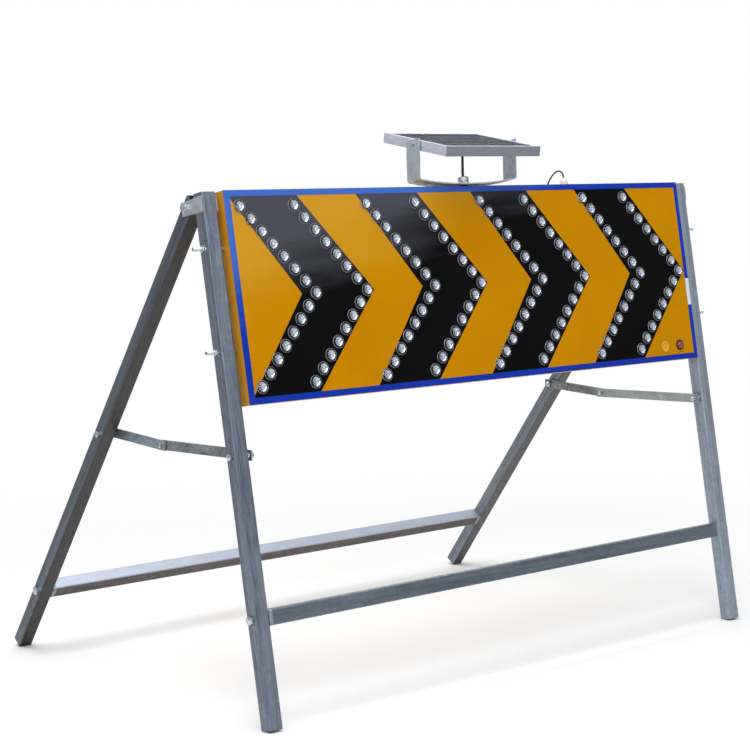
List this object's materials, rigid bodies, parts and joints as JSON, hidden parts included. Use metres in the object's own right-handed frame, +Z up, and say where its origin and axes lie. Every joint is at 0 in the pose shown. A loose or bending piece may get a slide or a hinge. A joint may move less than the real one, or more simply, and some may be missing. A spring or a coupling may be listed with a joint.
{
  "type": "chevron sign",
  "caption": "Portable road sign: a lit chevron panel between the front legs of a folding galvanised stand, with a tilting solar panel above.",
  "frame": {"origin": "centre of the footprint on the floor", "axes": "+X along the sign to the right as seen from the front, +Y towards the rear frame, +Z up"},
  "size_m": [1.35, 0.9998, 1.1069],
  "materials": {
    "galvanised_tube": "hot-dip galvanised, dull spangle",
    "dark_steel": "bare steel, darkened",
    "zinc_bar": "galvanised flat bar",
    "zinc_fastener": "bright zinc plate",
    "black_rubber": "matt",
    "yellow_paint": "powder coat",
    "yellow_film": "reflective sheeting",
    "black_film": "glossy film",
    "blue_tape": "glossy tape",
    "white_film": "matt film",
    "clear_lens": "clear moulded lens",
    "green_board": "printed board",
    "black_plastic": "moulded",
    "yellow_plastic": "moulded",
    "red_plastic": "translucent moulded",
    "white_nylon": "moulded",
    "black_cable": "sheath",
    "anodised_frame": "anodised",
    "solar_cells": "laminated cells under glass"
  },
  "bodies": {
    "front_frame": {"front_leg_left": "galvanised_tube", "front_leg_right": "galvanised_tube", "front_crossbar": "galvanised_tube", "front_crossbar_plugs": "dark_steel", "front_crossbar_bolts": "zinc_fastener", "hinge_cheeks": "zinc_bar", "hinge_bolts": "zinc_fastener", "hinge_nuts": "zinc_fastener", "stay_front_bolts": "zinc_fastener", "stay_front_spacers": "zinc_fastener", "stay_front_nuts": "zinc_fastener", "sign_tray": "yellow_paint", "rear_cover": "yellow_paint", "cover_seal": "black_rubber", "cover_screws": "zinc_fastener", "box_bolts": "zinc_fastener", "box_nuts": "zinc_fastener", "yellow_film": "yellow_film", "black_chevrons": "black_film", "blue_edge_tape": "blue_tape", "white_patch": "white_film", "led_lenses": "clear_lens", "led_boards": "green_board", "button_bezel": "black_plastic", "button_nut": "black_plastic", "blanking_cap": "yellow_plastic", "battery_pack": "black_plastic", "battery_clamp": "zinc_bar", "flasher_board": "green_board", "board_standoffs": "zinc_fastener", "cable_glands": "white_nylon", "gland_nuts": "white_nylon", "hollow_stud": "zinc_fastener", "stud_nuts": "zinc_fastener", "rubber_washer": "black_rubber", "link_lead": "black_cable"},
    "rear_frame": {"rear_leg_left": "galvanised_tube", "rear_leg_right": "galvanised_tube", "rear_crossbar": "galvanised_tube", "rear_crossbar_plugs": "dark_steel", "rear_crossbar_bolts": "zinc_fastener", "stay_rear_bolts": "zinc_fastener", "stay_rear_spacers": "zinc_fastener", "stay_rear_nuts": "zinc_fastener"},
    "stay_front_left": {"stay_front_link_left": "zinc_bar", "stay_joint_nut_left": "zinc_fastener"},
    "stay_front_right": {"stay_front_link_right": "zinc_bar", "stay_joint_nut_right": "zinc_fastener"},
    "stay_rear_left": {"stay_rear_link_left": "zinc_bar", "stay_joint_bolt_left": "zinc_fastener"},
    "stay_rear_right": {"stay_rear_link_right": "zinc_bar", "stay_joint_bolt_right": "zinc_fastener"},
    "solar_bracket": {"solar_strap": "zinc_bar", "panel_lead": "black_cable"},
    "solar_panel": {"panel_frame": "anodised_frame", "solar_laminate": "solar_cells", "junction_box": "black_plastic", "panel_pivot_bolts": "zinc_fastener", "panel_spacers": "white_nylon"},
    "power_button": {"power_button": "red_plastic"}
  },
  "joints": [
    {"name": "rear_fold", "type": "hinge", "parent": "front_frame", "child": "rear_frame", "pos_m": [0, -0.29224, 0.96402], "axis": [-1, 0, 0], "range_deg": [0, 48.2]},
    {"name": "stay_front_left_turn", "type": "hinge", "parent": "front_frame", "child": "stay_front_left", "pos_m": [-0.6105, -0.40542, 0.50508], "axis": [-1, 0, 0], "range_deg": [0, 93]},
    {"name": "stay_front_right_turn", "type": "hinge", "parent": "front_frame", "child": "stay_front_right", "pos_m": [0.6105, -0.40542, 0.50508], "axis": [-1, 0, 0], "range_deg": [0, 93]},
    {"name": "stay_rear_left_turn", "type": "hinge", "parent": "rear_frame", "child": "stay_rear_left", "pos_m": [-0.6139, 0.0787, 0.51037], "axis": [1, 0, 0], "range_deg": [0, 122]},
    {"name": "stay_rear_right_turn", "type": "hinge", "parent": "rear_frame", "child": "stay_rear_right", "pos_m": [0.6139, 0.0787, 0.51037], "axis": [1, 0, 0], "range_deg": [0, 122]},
    {"name": "solar_pan", "type": "hinge", "parent": "front_frame", "child": "solar_bracket", "pos_m": [0, -0.32734, 0.99489], "axis": [0, 0.1564, 0.9877], "range_deg": [-170, 170]},
    {"name": "solar_tilt", "type": "hinge", "parent": "solar_bracket", "child": "solar_panel", "pos_m": [0, -0.32486, 1.07907], "axis": [1, 0, 0], "range_deg": [-30, 30]},
    {"name": "button_press", "type": "slide", "parent": "front_frame", "child": "power_button", "axis": [0, 0.9877, -0.1564], "range_m": [0, 0.0025], "stiffness_N_per_m": 600}
  ],
  "couplings": [
    {"joint": "stay_front_left_turn", "follows": "rear_fold", "ratio": 1.9213},
    {"joint": "stay_front_right_turn", "follows": "rear_fold", "ratio": 1.9213},
    {"joint": "stay_rear_left_turn", "follows": "rear_fold", "ratio": 2.5234},
    {"joint": "stay_rear_right_turn", "follows": "rear_fold", "ratio": 2.5234}
  ]
}
